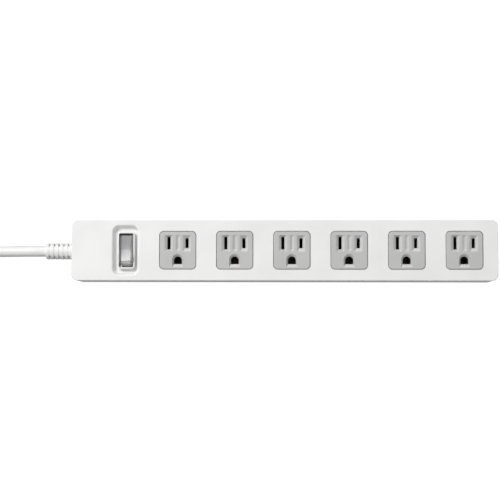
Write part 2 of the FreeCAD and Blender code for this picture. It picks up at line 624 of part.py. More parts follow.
def blade_contact(kind, index, x, bus_y):
    """A folded brass clip: two spring leaves on a base, with a foot that meets its bus bar."""
    name = f"{kind}_contact_{index}"
    base_x = centred(x, "leaf_gap + 2 * leaf_thickness")
    seat = ("contact_seat", "contact_seat + leaf_thickness")
    if kind == "neutral":
        foot_y = ("blade_y", f"{bus_y} - bus_thickness / 2")
    else:
        foot_y = (f"{bus_y} + bus_thickness / 2", "blade_y")
    parts = [
        block(name + "_base", base_x, centred("blade_y", "leaf_width"), seat),
        block(name + "_foot", base_x, foot_y, seat),
    ]
    for side, sign in (("a", "-"), ("b", "+")):
        inner = f"{x} {sign} leaf_gap / 2"
        outer = f"{x} {sign} (leaf_gap / 2 + leaf_thickness)"
        faces = (outer, inner) if sign == "-" else (inner, outer)
        parts.append(block(f"{name}_leaf_{side}", faces, centred("blade_y", "leaf_width"),
                           ("contact_seat", "leaf_top")))
        parts.append(rod(f"{name}_pinch_{side}", "y", "pinch_radius",
                         (inner, "blade_y - leaf_width / 2", "pinch_height"), "leaf_width"))
    node(name, joined(name, parts))


def ground_contact(index, x):
    """A slit brass tube on a base, with a foot that meets the ground bus."""
    name = f"ground_contact_{index}"
    seat = ("ground_seat", "ground_seat + leaf_thickness")
    barrel = rod(name + "_barrel", "z", "ground_tube_radius", (x, "ground_y", seat[0]),
                 "ground_tube_top - ground_seat")
    foot = block(name + "_foot", centred(x, "ground_tube_radius"),
                 ("ground_bus_y + bus_thickness / 2", "ground_y"), seat)
    tail = block(name + "_tail", centred(x, "ground_tube_radius"),
                 ("ground_bus_y + bus_thickness / 2", "ground_bus_y + bus_thickness / 2 + leaf_thickness"),
                 ("ground_seat", "bus_low + bus_height / 2"))
    bore = rod(name + "_bore", "z", "ground_tube_bore", (x, "ground_y", seat[1]), "body_height")
    slit = block(name + "_slit", centred(x, "ground_tube_slit"),
                 ("ground_y", "ground_y + 2 * ground_tube_radius"), (seat[1], "body_height"))
    node(name, without(name, joined(name + "_solid", [barrel, foot, tail]), [bore, slit]))


def bus_bar(kind, y):
    node(f"{kind}_bus_bar", block(
        f"{kind}_bus_bar", ("bus_start", f"{OUTLET_X[-1]} + bus_overrun"), centred(y, "bus_thickness"),
        ("bus_low", "bus_low + bus_height"),
    ))


def switch_case():
    shell = plate("case_block", CASE_LENGTH, CASE_WIDTH, "case_round", "switch_x", "0",
                  ("case_floor", CASE_TOP))
    room = plate("case_room", CASE_INSIDE, CASE_INSIDE_Y, "case_room_round", "switch_x", "0",
                 (CASE_DECK, f"{CASE_TOP} + cut_past"))
    tools = [
        room,
        rod("case_pivot_bore", "x", "pin_radius + pin_gap",
            (f"switch_x - ({CASE_LENGTH}) / 2 - cut_past", "0", "pivot_height"),
            f"{CASE_LENGTH} + 2 * cut_past"),
    ]
    for name, y in (("load", "0"), ("supply", "0 - contact_y")):
        tools.append(block(
            f"case_{name}_slot", centred("switch_x", "terminal_width + 2 * terminal_gap"),
            centred(y, "terminal_thickness + 2 * terminal_gap"),
            ("case_floor - cut_past", f"{CASE_DECK} + cut_past"),
        ))
    for side, y in LAMP_LEAD_Y.items():
        tools.append(rod(
            f"case_{side}_lead_hole", "z", "lead_radius + lead_gap",
            ("switch_x + lamp_x", y, "case_floor - cut_past"), "case_floor_thickness + 2 * cut_past",
        ))
    node("switch_case", without("switch_case", shell, tools))


def on_pivot(thing, height, tilt):
    """Sets a part built about its own pivot at the switch's middle, tilted about X."""
    thing.Placement = FreeCAD.Placement(VEC(), FreeCAD.Rotation(VEC(1, 0, 0), 1))
    place(thing, "switch_x", "0", height)
    thing.setExpression("Placement.Rotation.Angle", bind(tilt))


def rocker_profile(body):
    """The rocker from the side: a shallow V on top, ends round about the pivot, a flat skirt."""
    sketch = new_sketch(body, "rocker_profile", "YZ_Plane")
    radius, end, middle, skirt = 12.0, 6.0, 4.0, 2.0
    high, low = math.asin(end / radius), -math.asin(skirt / radius)
    end_y, skirt_y = radius * math.cos(high), radius * math.cos(low)
    circle = Part.Circle(VEC(), VEC(0, 0, 1), radius)
    sketch.addGeometry(Part.ArcOfCircle(circle, low, high), False)
    sketch.addGeometry(Part.LineSegment(VEC(end_y, end, 0), VEC(0, middle, 0)), False)
    sketch.addGeometry(Part.LineSegment(VEC(0, middle, 0), VEC(-end_y, end, 0)), False)
    sketch.addGeometry(Part.ArcOfCircle(circle, math.pi - high, math.pi - low), False)
    sketch.addGeometry(Part.LineSegment(VEC(-skirt_y, -skirt, 0), VEC(skirt_y, -skirt, 0)), False)
    rule = Sketcher.Constraint
    sketch.addConstraint([
        rule("Coincident", 0, 3, -1, 1),
        rule("Coincident", 3, 3, -1, 1),
        rule("Coincident", 0, 2, 1, 1),
        rule("Coincident", 1, 2, 2, 1),
        rule("Coincident", 2, 2, 3, 1),
        rule("Coincident", 3, 2, 4, 1),
        rule("Coincident", 4, 2, 0, 1),
        rule("PointOnObject", 1, 2, -2),
        rule("Symmetric", 1, 1, 2, 2, -2),
        rule("Horizontal", 4),
    ])
    constrain(sketch, {
        "swing": (rule("Radius", 0, radius), "rocker_radius"),
        "end_rise": (rule("DistanceY", -1, 1, 1, 1, end), "rocker_end"),
        "middle_rise": (rule("DistanceY", -1, 1, 1, 2, middle), "rocker_middle"),
        "skirt": (rule("DistanceY", 4, 1, -1, 1, skirt), "rocker_skirt"),
    })
    return sketch


def rocker():
    body = doc.addObject("PartDesign::Body", "rocker_body")
    pad = grown(body, "rocker_pad", rocker_profile(body), "rocker_length")
    pad.Midplane = True
    doc.recompute()
    corners = [
        f"Edge{index}"
        for index, edge in enumerate(pad.Shape.Edges, 1)
        if abs(abs(edge.CenterOfMass.x) - cell("rocker_length") / 2) < 1e-4 and "Circle" in str(edge.Curve)
    ]
    easing = body.newObject("PartDesign::Fillet", "rocker_corners")
    easing.Base = (pad, corners)
    easing.setExpression("Radius", bind("rocker_corner"))
    room = block("rocker_room", centred("0", "rocker_length - 2 * rocker_wall"),
                 centred("0", "2 * (rocker_radius - rocker_end_wall)"),
                 ("0 - rocker_skirt - cut_past", "rocker_middle - rocker_roof"))
    pins = rod("rocker_pins", "x", "pin_radius", ("0 - rocker_length / 2 - pin_length", "0", "0"),
               "rocker_length + 2 * pin_length")
    pin_room = block("pin_room", centred("0", "rocker_length - 2 * rocker_wall"),
                     ("0 - 2 * pin_radius", "2 * pin_radius"), ("0 - 2 * pin_radius", "2 * pin_radius"))
    shell = without("rocker_shell", body, [room])
    thing = joined("rocker", [shell, without("rocker_stubs", pins, [pin_room])])
    on_pivot(thing, "pivot_height", "0 - rocker_tilt")
    node("rocker", thing)


def rocker_carrier():
    """The white plate pressed up under the clear rocker, with the guide that the plunger slides in."""
    roof = "rocker_middle - rocker_roof"
    slab = block("carrier_plate", centred("0", "rocker_length - 2 * rocker_wall - 2 * carrier_gap"),
                 centred("0", "2 * (rocker_radius - rocker_end_wall - carrier_gap)"),
                 (f"{roof} - carrier_thickness", roof))
    guide = rod("plunger_guide", "z", "guide_radius", ("0", "0", "0 - guide_low"), f"guide_low + {roof}")
    bore = rod("plunger_bore", "z", "plunger_radius + plunger_gap", ("0", "0", "0 - guide_low - cut_past"),
               f"guide_low + cut_past + {roof} - carrier_thickness / 2")
    thing = without("rocker_carrier", joined("carrier_solid", [slab, guide]), [bore])
    on_pivot(thing, "pivot_height", "0 - rocker_tilt")
    node("rocker_carrier", thing)


def plunger():
    stem = rod("plunger_stem", "z", "plunger_radius", ("0", "0", "plunger_radius - plunger_tip"),
               "plunger_tip - plunger_radius - plunger_top")
    tip = doc.addObject("Part::Sphere", "plunger_nose")
    tip.setExpression("Radius", bind("plunger_radius"))
    place(tip, z="plunger_radius - plunger_tip")
    thing = joined("plunger", [stem, tip])
    on_pivot(thing, "pivot_height", "0 - rocker_tilt")
    node("plunger", thing)


def plunger_spring():
    """A coil of wire between the plunger's top and the blind end of its guide."""
    wire, turns = cell("spring_wire"), cell("spring_turns")
    low = wire - cell("plunger_top") + cell("terminal_gap")
    roof = cell("rocker_middle") - cell("rocker_roof") - cell("carrier_thickness") / 2
    high = roof - wire - cell("terminal_gap")
    helix = Part.makeHelix((high - low) / turns, high - low, cell("spring_radius"))
    start = helix.Edges[0].valueAt(helix.Edges[0].FirstParameter)
    heading = helix.Edges[0].tangentAt(helix.Edges[0].FirstParameter)
    profile = Part.Wire(Part.makeCircle(wire, start, heading))
    coil = Part.Wire(helix.Edges).makePipeShell([profile], True, True)
    coil.translate(VEC(0, 0, low))
    thing = feature("plunger_spring", Part.makeCompound([coil]))
    on_pivot(thing, "pivot_height", "0 - rocker_tilt")
    node("plunger_spring", thing)


def contact_lever():
    """The seesaw that the plunger rolls over: a silver contact below one end, a like rivet to balance it."""
    parts = [block("lever_arm", centred("0", "lever_width"), centred("0", "2 * lever_reach"),
                   ("0", "lever_thickness"))]
    for side, y in (("contact", "0 - contact_y"), ("balance", "contact_y")):
        parts.append(rod(f"lever_{side}_rivet", "z", "rivet_radius", ("0", y, "0 - rivet_height"),
                         "rivet_height + lever_thickness / 2"))
    thing = joined("contact_lever", parts)
    on_pivot(thing, FULCRUM, "lever_tilt")
    node("contact_lever", thing)


def terminals():
    across = centred("switch_x", "terminal_width")
    node("load_terminal", block("load_terminal", across, centred("0", "terminal_thickness"),
                                ("terminal_low", f"{FULCRUM} - lever_gap")))
    post = block("supply_post", across, centred("0 - contact_y", "terminal_thickness"),
                 ("terminal_low", "contact_top - rivet_height"))
    rivet = rod("supply_rivet", "z", "rivet_radius", ("switch_x", "0 - contact_y",
                "contact_top - rivet_height - leaf_thickness"), "rivet_height + leaf_thickness")
    node("supply_terminal", joined("supply_terminal", [post, rivet]))


def lamp():
    height = f"{CASE_DECK} + lamp_gap + lamp_radius"
    node("neon_lamp", rod("neon_lamp", "y", "lamp_radius", ("switch_x + lamp_x", "lamp_y", height),
                          "lamp_length"))
    resistor_y = LAMP_LEAD_Y["resistor"]
    node("lamp_resistor", rod("lamp_resistor", "x", "resistor_radius",
                              ("switch_x + resistor_x", resistor_y, "resistor_height"), "resistor_length"))
    across, near = cell("lamp_x"), cell("lamp_y")
    far = near + cell("lamp_length")
    lamp_z = cell("case_floor") + cell("case_floor_thickness") + cell("lamp_gap") + cell("lamp_radius")
    drop_y = far + 3 * cell("lead_radius")
    load_y = 0 - cell("wire_radius") - 3 * cell("lead_radius")
    deep, low = cell("resistor_height"), cell("terminal_low") + 2 * cell("lead_radius")
    first, last = cell("resistor_x") + cell("resistor_length"), cell("resistor_x")
    stub, wire_y = cell("resistor_stub"), cell("wire_y") - cell("wire_radius")
    routes = [
        [(across, near, lamp_z), (across, load_y, lamp_z), (across, load_y, low), (0, load_y, low),
         (0, 0 - cell("terminal_thickness") / 2, low)],
        [(across, far, lamp_z), (across, drop_y, lamp_z), (across, drop_y, deep), (first, drop_y, deep)],
        [(last, drop_y, deep), (last - stub, drop_y, deep), (last - stub, wire_y, deep)],
    ]
    leads = []
    for route in routes:
        solid, _, _ = tube([(cell("switch_x") + dx, y, z) for dx, y, z in route], cell("lead_radius"))
        leads.append(solid)
    node("lamp_leads", feature("lamp_leads", Part.makeCompound(leads)))


def wires():
    """The cord's three cores and the switched wire, each from end to end."""
    start, height, core = cell("cord_start"), cell("cord_height"), cell("core_offset")
    bus, bus_z = cell("bus_start"), cell("bus_low") + cell("bus_height") / 2
    at_x, face = cell("switch_x"), cell("terminal_width") / 2
    contact_y, low = cell("contact_y"), cell("wire_height")
    lead, spread, lift = cell("wire_lead"), cell("core_spread"), cell("core_lift")
    supply_z, switched_z = low + cell("supply_lift"), low + cell("switched_lift")
    routes = {
        "supply_wire": [
            (start, 0.0, height - core), (start + lead, 0.0, height - core),
            (start + cell("supply_turn"), -contact_y, supply_z), (at_x - face, -contact_y, supply_z),
        ],
        "switched_wire": [
            (at_x + face, 0.0, switched_z), (at_x + face + cell("switched_lead"), 0.0, switched_z),
            (bus - cell("switched_end"), cell("line_bus_y"), bus_z), (bus, cell("line_bus_y"), bus_z),
        ],
    }
    for name, side, bus_y in (("neutral", 1, cell("neutral_bus_y")), ("ground", -1, cell("ground_bus_y"))):
        wire_y = side * cell("wire_y")
        routes[f"{name}_wire"] = [
            (start, side * core, height + lift), (start + lead, side * core, height + lift),
            (start + 2 * lead, side * spread, low + cell("spread_lift")), (start + spread, wire_y, low),
            (bus - 2 * lead, wire_y, low), (bus - lead, bus_y, bus_z), (bus, bus_y, bus_z),
        ]
    for name, route in routes.items():
        solid, _, _ = tube(route, cell("wire_radius"))
        node(name, feature(name, solid))


def strain_relief():
    """A moulded sleeve: a grooved neck in the end wall and a ribbed tail outside it. Each groove is shallow
    over the top and bottom webs and cut deep on the sides, above and below a side web."""
    outer = "cord_radius + relief_wall"
    tip = f"{WALL_OUT} - relief_length"
    axis = ("0", "cord_height")
    tail = rod("relief_tail", "x", outer, (f"{tip} + relief_nose", *axis), "relief_length - relief_nose")
    nose = rod("relief_nose_cone", "x", "cord_radius + relief_nose_wall", (tip, *axis), "relief_nose", outer)
    inside = f"{WALL_OUT} + wall + parting_height * tan ( side_draft ) + relief_neck_gap"
    neck = rod("relief_neck_bar", "x", "cord_radius + relief_neck_wall", (WALL_OUT, *axis),
               f"{inside} - ({WALL_OUT})")
    flange = rod("relief_flange_disc", "x", "cord_radius + relief_flange_wall", (inside, *axis),
                 "relief_flange_thickness")
    tools = [rod("relief_bore", "x", "cord_radius + cord_gap", (f"{tip} - cut_past", *axis),
                 "relief_length + 2 * wall + relief_flange_thickness + 2 * cut_past")]
    for index in range(RELIEF_SLOTS):
        at = f"{WALL_OUT} - relief_first - {index} * relief_pitch"
        for name, width, depth in (("slot", "relief_slot", "relief_slot_depth"),
                                   ("groove", "relief_groove", "relief_groove_depth")):
            ring = rod(f"{name}_outer_{index}", "x", f"{outer} + cut_past",
                       (f"{at} - {width} / 2", *axis), width)
            cuts = [rod(f"{name}_inner_{index}", "x", f"{outer} - {depth}", (f"{at} - {width}", *axis),
                        f"2 * {width}")]
            if name == "slot":
                cuts.append(block(f"relief_web_{index}", centred(at, "2 * relief_slot"),
                                  centred("0", "relief_web"), centred("cord_height", f"4 * ({outer})")))
                cuts.append(block(f"relief_side_web_{index}", centred(at, "2 * relief_slot"),
                                  centred("0", f"4 * ({outer})"), centred("cord_height", "relief_side_web")))
            tools.append(without(f"{name}_ring_{index}", ring, cuts))
    node("strain_relief", without("strain_relief", joined("relief_solid", [tail, nose, neck, flange]), tools))


def cord_clamp():
    bar = block("clamp_bar", ("clamp_x", "clamp_x + clamp_length"), centred("0", "clamp_width"),
                ("clamp_low", "clamp_top"))
    tools = [rod("clamp_groove", "x", "cord_radius + cord_gap", ("clamp_x - cut_past", "0", "cord_height"),
                 "clamp_length + 2 * cut_past")]
    screws = []
    middle = "clamp_x + clamp_length / 2"
    for side, y in (("left", "clamp_screw_y"), ("right", "0 - clamp_screw_y")):
        tools.append(rod(f"clamp_hole_{side}", "z", "clamp_screw_radius + screw_gap",
                         (middle, y, "clamp_low - cut_past"), "clamp_top - clamp_low + 2 * cut_past"))
        shank = rod(f"clamp_shank_{side}", "z", "clamp_screw_radius",
                    (middle, y, "clamp_top - clamp_screw_length"), "clamp_screw_length")
        head = rod(f"clamp_head_{side}", "z", "clamp_screw_head", (middle, y, "clamp_top"),
                   "clamp_head_height")
        screws.append(joined(f"clamp_screw_{side}", [shank, head]))
    node("cord_clamp", without("cord_clamp", bar, tools))
    group = doc.addObject("Part::Compound", "clamp_screws")
    group.Links = screws
    node("clamp_screws", group)


def report_route(name, radii, length):
    print(f"{name}: length {length:.1f}, smallest radius {min(radii):.1f}, radii",
          " ".join(f"{r:.0f}" for r in radii))


def cord_route():
    """From the clamp, straight out, down to the hank's lowest layer and onto its first turn."""
    low = cell("tie_thickness") + cell("cord_radius")
    outer = cell("hank_inner") + 2 * cell("cord_radius")
    entry_x = cell("hank_end_x") + outer * math.cos(HANK_ENTRY)
    entry_y = cell("hank_y") + outer * math.sin(HANK_ENTRY)
    height = cell("cord_height")
    return [
        (cell("cord_start"), 0.0, height), (cell("free_run_end"), 0.0, height),
        (entry_x + entry_y * math.tan(HANK_ENTRY), 0.0, low), (entry_x, entry_y, low),
    ]


def power_cord():
    solid, radii, length = tube(cord_route(), cell("cord_radius"))
    report_route("power_cord", radii, length)
    node("power_cord", feature("power_cord", solid))


def stadium(half_width, z):
    """The outer shape of the hank: two half rounds and the straight runs between them."""
    end, straight, y = cell("hank_end_x"), cell("hank_straight"), cell("hank_y")
    height = z[1] - z[0]
    near = Part.makeCylinder(half_width, height, VEC(end, y, z[0]))
    far = Part.makeCylinder(half_width, height, VEC(end - straight, y, z[0]))
    bar = Part.makeBox(straight, 2 * half_width, height, VEC(end - straight, y - half_width, z[0]))
    return near.fuse([far, bar]).removeSplitter()


def cord_hank():
    """The put-away length, wound flat in layers of two turns, with the lead that rises to the plug."""
    radius, tie = cell("cord_radius"), cell("tie_thickness")
    end, y, inner = cell("hank_end_x"), cell("hank_y"), cell("hank_inner")
    half_width = inner + 3 * radius
    top = tie + 2 * radius * cell("hank_layers")
    winding = stadium(half_width, (tie, top))
    groove, _, _ = tube(cord_route(), radius + 2 * cell("cord_gap"))
    far = end - cell("hank_straight")
    plug_y, plug_z = cell("plug_y"), top + tie + cell("plug_height") / 2
    lead_z = top + tie + radius + cell("cord_gap")
    side_y = y + inner + 2 * radius
    bend = (side_y - plug_y) / 2
    step = bend * math.tan(math.pi / 8)
    rise_half = cell("lead_rise") / 2
    lead = [
        (end + rise_half, side_y, lead_z - radius), (end - rise_half, side_y, lead_z),
        (far - step, side_y, lead_z), (far - bend, side_y - bend + step, lead_z + cell("lead_lift")),
        (far - bend, plug_y + bend - step, plug_z - cell("lead_drop")), (far - step, plug_y, plug_z),
        (far + step, plug_y, plug_z),
    ]
    rise, radii, length = tube(lead, radius)
    report_route("plug lead", radii, length)
    node("cord_hank", feature("cord_hank", winding.cut(groove).fuse(rise)))
    return far + step, plug_z


def cord_tie():
    """A flat strap round the middle of the hank."""
    thickness, width = cell("tie_thickness"), cell("tie_width")
    half_width = cell("hank_inner") + 3 * cell("cord_radius")
    top = thickness + 2 * cell("cord_radius") * cell("hank_layers")
    middle = cell("hank_end_x") - cell("hank_straight") / 2
    y = cell("hank_y")
    outer = Part.makeBox(width, 2 * (half_width + thickness), top + thickness,
                         VEC(middle - width / 2, y - half_width - thickness, 0))
    past = cell("cut_past")
    inner = Part.makeBox(width + 2 * past, 2 * half_width, top - thickness,
                         VEC(middle - width / 2 - past, y - half_width, thickness))
    node("cord_tie", feature("cord_tie", outer.cut(inner)))


def plug(tail_x, height):
    """A straight three-pin plug, lying on the hank with its pins towards +X."""
    y = cell("plug_y")
    block_x = tail_x + cell("plug_tail")
    front = block_x + cell("plug_length")
    shape = Part.makeBox(cell("plug_length"), cell("plug_width"), cell("plug_height"),
                         VEC(block_x, y - cell("plug_width") / 2, height - cell("plug_height") / 2))
    shape = shape.makeFillet(cell("plug_round"), [e for e in shape.Edges if abs(e.BoundBox.XLength) > 1])
    tail = Part.makeCone(cell("cord_radius") + cell("plug_tail_wall"), cell("plug_tail_base"),
                         cell("plug_tail"), VEC(tail_x, y, height), VEC(1, 0, 0))
    shape = shape.fuse(tail).removeSplitter()
    thickness, width = cell("plug_blade_thickness"), cell("plug_blade_width")
    rise, depth = cell("plug_blade_rise"), cell("plug_pin_root")
    pins = {}
    for name, dy in (("plug_blade_neutral", cell("blade_x")), ("plug_blade_line", -cell("blade_x"))):
        low = VEC(front - depth, y + dy - thickness / 2, height + rise - width / 2)
        pins[name] = Part.makeBox(depth + cell("plug_blade_length"), thickness, width, low)
    pin_z = height + rise - cell("blade_y") + cell("ground_y")
    root = Part.makeCylinder(cell("plug_root_radius"), depth, VEC(front - depth, y, pin_z), VEC(1, 0, 0))
    pin = Part.makeCylinder(cell("plug_pin_radius"), cell("plug_pin_length"), VEC(front, y, pin_z),
                            VEC(1, 0, 0))
    pins["plug_ground_pin"] = root.fuse(pin)
    shape = shape.cut(list(pins.values()))
    node("plug_body", feature("plug_body", shape))
    for name, pin in pins.items():
        node(name, feature(name, pin))


def check_and_write():
    doc.recompute()
    for thing in doc.Objects:
        if {"Invalid", "Error"} & set(thing.State):
            sys.exit(f"{thing.Name} ({thing.Label}) failed: {thing.State}")
    os.makedirs("parts", exist_ok=True)
    for name, thing in nodes.items():
        if thing.Shape.isNull() or not thing.Shape.isValid() or thing.Shape.Volume <= 0:
            sys.exit(f"{name} has no valid shape")
        thing.Shape.exportStep(f"parts/{name}.step")
    print(len(nodes), "sub-parts written")


def main():
    fill_sheet()
    shell = housing_shell()
    top_cover(shell)
    bottom_cover(shell)
    housing_screws()
    for index, x in enumerate(OUTLET_X, 1):
        outlet_insert(index, x)
        blade_contact("neutral", index, f"{x} - blade_x", BUSES["neutral"])
        blade_contact("line", index, f"{x} + blade_x", BUSES["line"])
        ground_contact(index, x)
    for kind, y in BUSES.items():
        bus_bar(kind, y)
    switch_case()
    rocker()
    rocker_carrier()
    plunger()
    plunger_spring()
    contact_lever()
    terminals()
    lamp()
    wires()
    strain_relief()
    cord_clamp()
    power_cord()
    plug(*cord_hank())
    cord_tie()
    check_and_write()


main()
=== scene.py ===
import json
import math

import bmesh
import bpy
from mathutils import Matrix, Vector


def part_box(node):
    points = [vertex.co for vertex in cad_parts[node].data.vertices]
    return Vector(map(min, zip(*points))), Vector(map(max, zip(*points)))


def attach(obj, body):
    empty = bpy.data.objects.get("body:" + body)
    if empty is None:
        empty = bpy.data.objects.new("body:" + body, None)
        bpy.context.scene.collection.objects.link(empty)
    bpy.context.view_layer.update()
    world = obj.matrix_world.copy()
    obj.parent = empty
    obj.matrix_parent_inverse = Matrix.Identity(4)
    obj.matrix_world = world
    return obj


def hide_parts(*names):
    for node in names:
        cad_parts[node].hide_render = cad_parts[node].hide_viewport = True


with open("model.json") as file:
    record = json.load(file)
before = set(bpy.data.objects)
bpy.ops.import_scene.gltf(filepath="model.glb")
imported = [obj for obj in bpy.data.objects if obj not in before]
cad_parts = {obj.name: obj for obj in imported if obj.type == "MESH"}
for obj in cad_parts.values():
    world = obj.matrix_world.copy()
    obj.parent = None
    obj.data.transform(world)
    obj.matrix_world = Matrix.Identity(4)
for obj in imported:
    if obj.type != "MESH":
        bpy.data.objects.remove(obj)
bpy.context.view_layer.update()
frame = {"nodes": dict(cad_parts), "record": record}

# A six-way power strip on a pale floor, in metres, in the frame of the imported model.
# Sizes written in millimetres are multiplied by MM.

MM = 0.001
CORD_RADIUS = 3.8 * MM
STRAP_THICK = 0.8 * MM


def points_mm(*rows):
    """Points given in millimetres."""
    return [Vector(row) * MM for row in rows]


def between(pair, share):
    """A number the given share of the way from the first of a pair to the second."""
    return pair[0] + (pair[1] - pair[0]) * share


# Camera: place in millimetres, turn in degrees.

CAMERA_PLACE, CAMERA_TURN = (6.66, -51.61, 900.0), (3.399, 1.973, 0.134)
LENS, SENSOR = 89.98, 36.0
NEAREST, FARTHEST = 0.01, 20.0


def add_camera():
    """The one camera, above the strip and looking down."""
    camera = bpy.data.cameras.new("camera")
    camera.lens = LENS
    camera.sensor_width = SENSOR
    camera.clip_start, camera.clip_end = NEAREST, FARTHEST
    holder = bpy.data.objects.new("camera", camera)
    holder.location = Vector(CAMERA_PLACE) * MM
    holder.rotation_euler = [math.radians(a) for a in CAMERA_TURN]
    bpy.context.collection.objects.link(holder)
    bpy.context.scene.camera = holder


# Shader nodes.

# Nearly all of a noise texture's values lie between these.
NOISE_LOW, NOISE_HIGH = 0.3, 0.7


def coordinate(tree, kind, axis):
    """One axis of the generated or the object coordinates."""
    place = tree.nodes.new("ShaderNodeTexCoord")
    split = tree.nodes.new("ShaderNodeSeparateXYZ")
    tree.links.new(place.outputs[kind], split.inputs["Vector"])
    return split.outputs[axis]


def map_range(tree, value, source, target, smooth=False):
    """A value carried over from one pair of limits to another."""
    level = tree.nodes.new("ShaderNodeMapRange")
    if smooth:
        level.interpolation_type = "SMOOTHSTEP"
    level.inputs["From Min"].default_value, level.inputs["From Max"].default_value = source
    level.inputs["To Min"].default_value, level.inputs["To Max"].default_value = target
    tree.links.new(value, level.inputs["Value"])
    return level.outputs["Result"]


def noise(tree, scale, detail=3.0):
    """Solid noise over the object's own metres."""
    place = tree.nodes.new("ShaderNodeTexCoord")
    texture = tree.nodes.new("ShaderNodeTexNoise")
    texture.inputs["Scale"].default_value = scale
    texture.inputs["Detail"].default_value = detail
    tree.links.new(place.outputs["Object"], texture.inputs["Vector"])
    return texture.outputs["Fac"]


def spread(tree, value, low, high):
    """Noise spread between two numbers."""
    return map_range(tree, value, (NOISE_LOW, NOISE_HIGH), (low, high))


def blend_colours(tree, value, first, second):
    """The first colour where the value is 0, the second where it is 1."""
    mix = tree.nodes.new("ShaderNodeMix")
    mix.data_type = "RGBA"
    mix.inputs["A"].default_value = (*first, 1.0)
    mix.inputs["B"].default_value = (*second, 1.0)
    tree.links.new(value, mix.inputs["Factor"])
    return mix.outputs["Result"]


def bump(tree, shader, value, depth):
    """Fine relief of a depth in metres."""
    relief = tree.nodes.new("ShaderNodeBump")
    relief.inputs["Distance"].default_value = depth
    relief.inputs["Strength"].default_value = 1.0
    tree.links.new(value, relief.inputs["Height"])
    tree.links.new(relief.outputs["Normal"], shader.inputs["Normal"])


# Lights.

SKY_ABOVE, SKY_BELOW = 0.505, 0.28
# The sky changes from one to the other between these heights of the view direction.
SKY_RISE = (-0.6, 0.4)
KEY_PLACE, KEY_SIZE, KEY_POWER = (-1.2, 1.05, 1.75), 0.7, 40.0
# Low lights that only glossy plastic picks up: place, width, height and power of each.
LOW_LIGHTS = {
    "strip_back": ((0.0, 1.5, 0.45), 1.6, 0.4, 14.0),
    "strip_left": ((-1.5, 0.1, 0.42), 1.0, 0.4, 6.0),
    "strip_right": ((1.5, 0.1, 0.42), 1.0, 0.4, 6.0),
}


def add_area_light(name, place, size, power, height=None):
    """A soft light aimed at the origin: a disk, or a rectangle if it has a height."""
    light = bpy.data.lights.new(name, "AREA")
    light.shape = "DISK"
    light.size = size
    if height:
        light.shape = "RECTANGLE"
        light.size_y = height
    light.energy = power
    holder = bpy.data.objects.new(name, light)
    holder.location = place
    holder.rotation_euler = (-Vector(place)).to_track_quat("-Z", "Y").to_euler()
    bpy.context.collection.objects.link(holder)
    return holder


def add_world():
    """A plain studio: an even white light, dimmer from below."""
    world = bpy.data.worlds.new("studio")
    world.use_nodes = True
    tree = world.node_tree
    back = tree.nodes["Background"]
    back.inputs["Color"].default_value = (1.0, 1.0, 1.0, 1.0)
    level = map_range(tree, coordinate(tree, "Generated", "Z"), SKY_RISE, (SKY_BELOW, SKY_ABOVE))
    tree.links.new(level, back.inputs["Strength"])
    bpy.context.scene.world = world
    bpy.context.scene.view_settings.view_transform = "Standard"


# Materials.

CLOUDING = 0.03
POLISH_SPREAD = 0.05
# The noise is finer across X than along it, so the metal's lines run along X.
LINE_STRETCH = (60.0, 900.0, 900.0)
# Painted shade on the rocker's strip: the -Y half keeps the strip's pale tone and the +Y half is painted grey
# as shade.
STRIP_PALE, STRIP_PAINTED_SHADE = (0.86, 0.86, 0.86), (0.42, 0.42, 0.42)
# The Y between which the rocker's strip turns from pale to its painted grey shade, in metres.
PAINTED_SHADE_FADE = (-0.008, 0.006)


def scaled(colour, by):
    """A colour made lighter or darker."""
    return [min(1.0, c * by) for c in colour]


def new_material(name, colour, roughness):
    """A plain material, with its node tree and its shader."""
    material = bpy.data.materials.new(name)
    material.use_nodes = True
    shader = material.node_tree.nodes["Principled BSDF"]
    shader.inputs["Base Color"].default_value = (*colour, 1.0)
    shader.inputs["Roughness"].default_value = roughness
    return material, material.node_tree, shader


def plastic(name, colour, roughness, grain=1500.0):
    """Moulded plastic: a fine grain, faint clouding and uneven polish."""
    material, tree, shader = new_material(name, colour, roughness)
    cloud = spread(tree, noise(tree, scale=40.0), low=0.0, high=1.0)
    clouded = blend_colours(tree, cloud, scaled(colour, 1.0 - CLOUDING), scaled(colour, 1.0 + CLOUDING))
    tree.links.new(clouded, shader.inputs["Base Color"])
    polish = spread(tree, noise(tree, scale=grain / 4), low=roughness - POLISH_SPREAD,
                    high=roughness + POLISH_SPREAD)
    tree.links.new(polish, shader.inputs["Roughness"])
    bump(tree, shader, noise(tree, scale=grain, detail=2.0), depth=0.000015)
    return material


def metal(name, colour, roughness):
    """Drawn or rolled metal with fine lines along X and slight tarnish."""
    material, tree, shader = new_material(name, colour, roughness)
    shader.inputs["Metallic"].default_value = 1.0
    place = tree.nodes.new("ShaderNodeTexCoord")
    stretch = tree.nodes.new("ShaderNodeMapping")
    stretch.inputs["Scale"].default_value = LINE_STRETCH
    lines = tree.nodes.new("ShaderNodeTexNoise")
    lines.inputs["Scale"].default_value = 3.0
    tree.links.new(place.outputs["Object"], stretch.inputs["Vector"])
    tree.links.new(stretch.outputs["Vector"], lines.inputs["Vector"])
    polish = spread(tree, lines.outputs["Fac"], low=roughness - 0.08, high=roughness + 0.1)
    tree.links.new(polish, shader.inputs["Roughness"])
    tarnish = spread(tree, noise(tree, scale=300.0), low=0.0, high=1.0)
    tree.links.new(blend_colours(tree, tarnish, colour, scaled(colour, by=0.86)), shader.inputs["Base Color"])
    bump(tree, shader, lines.outputs["Fac"], depth=0.00001)
    return material


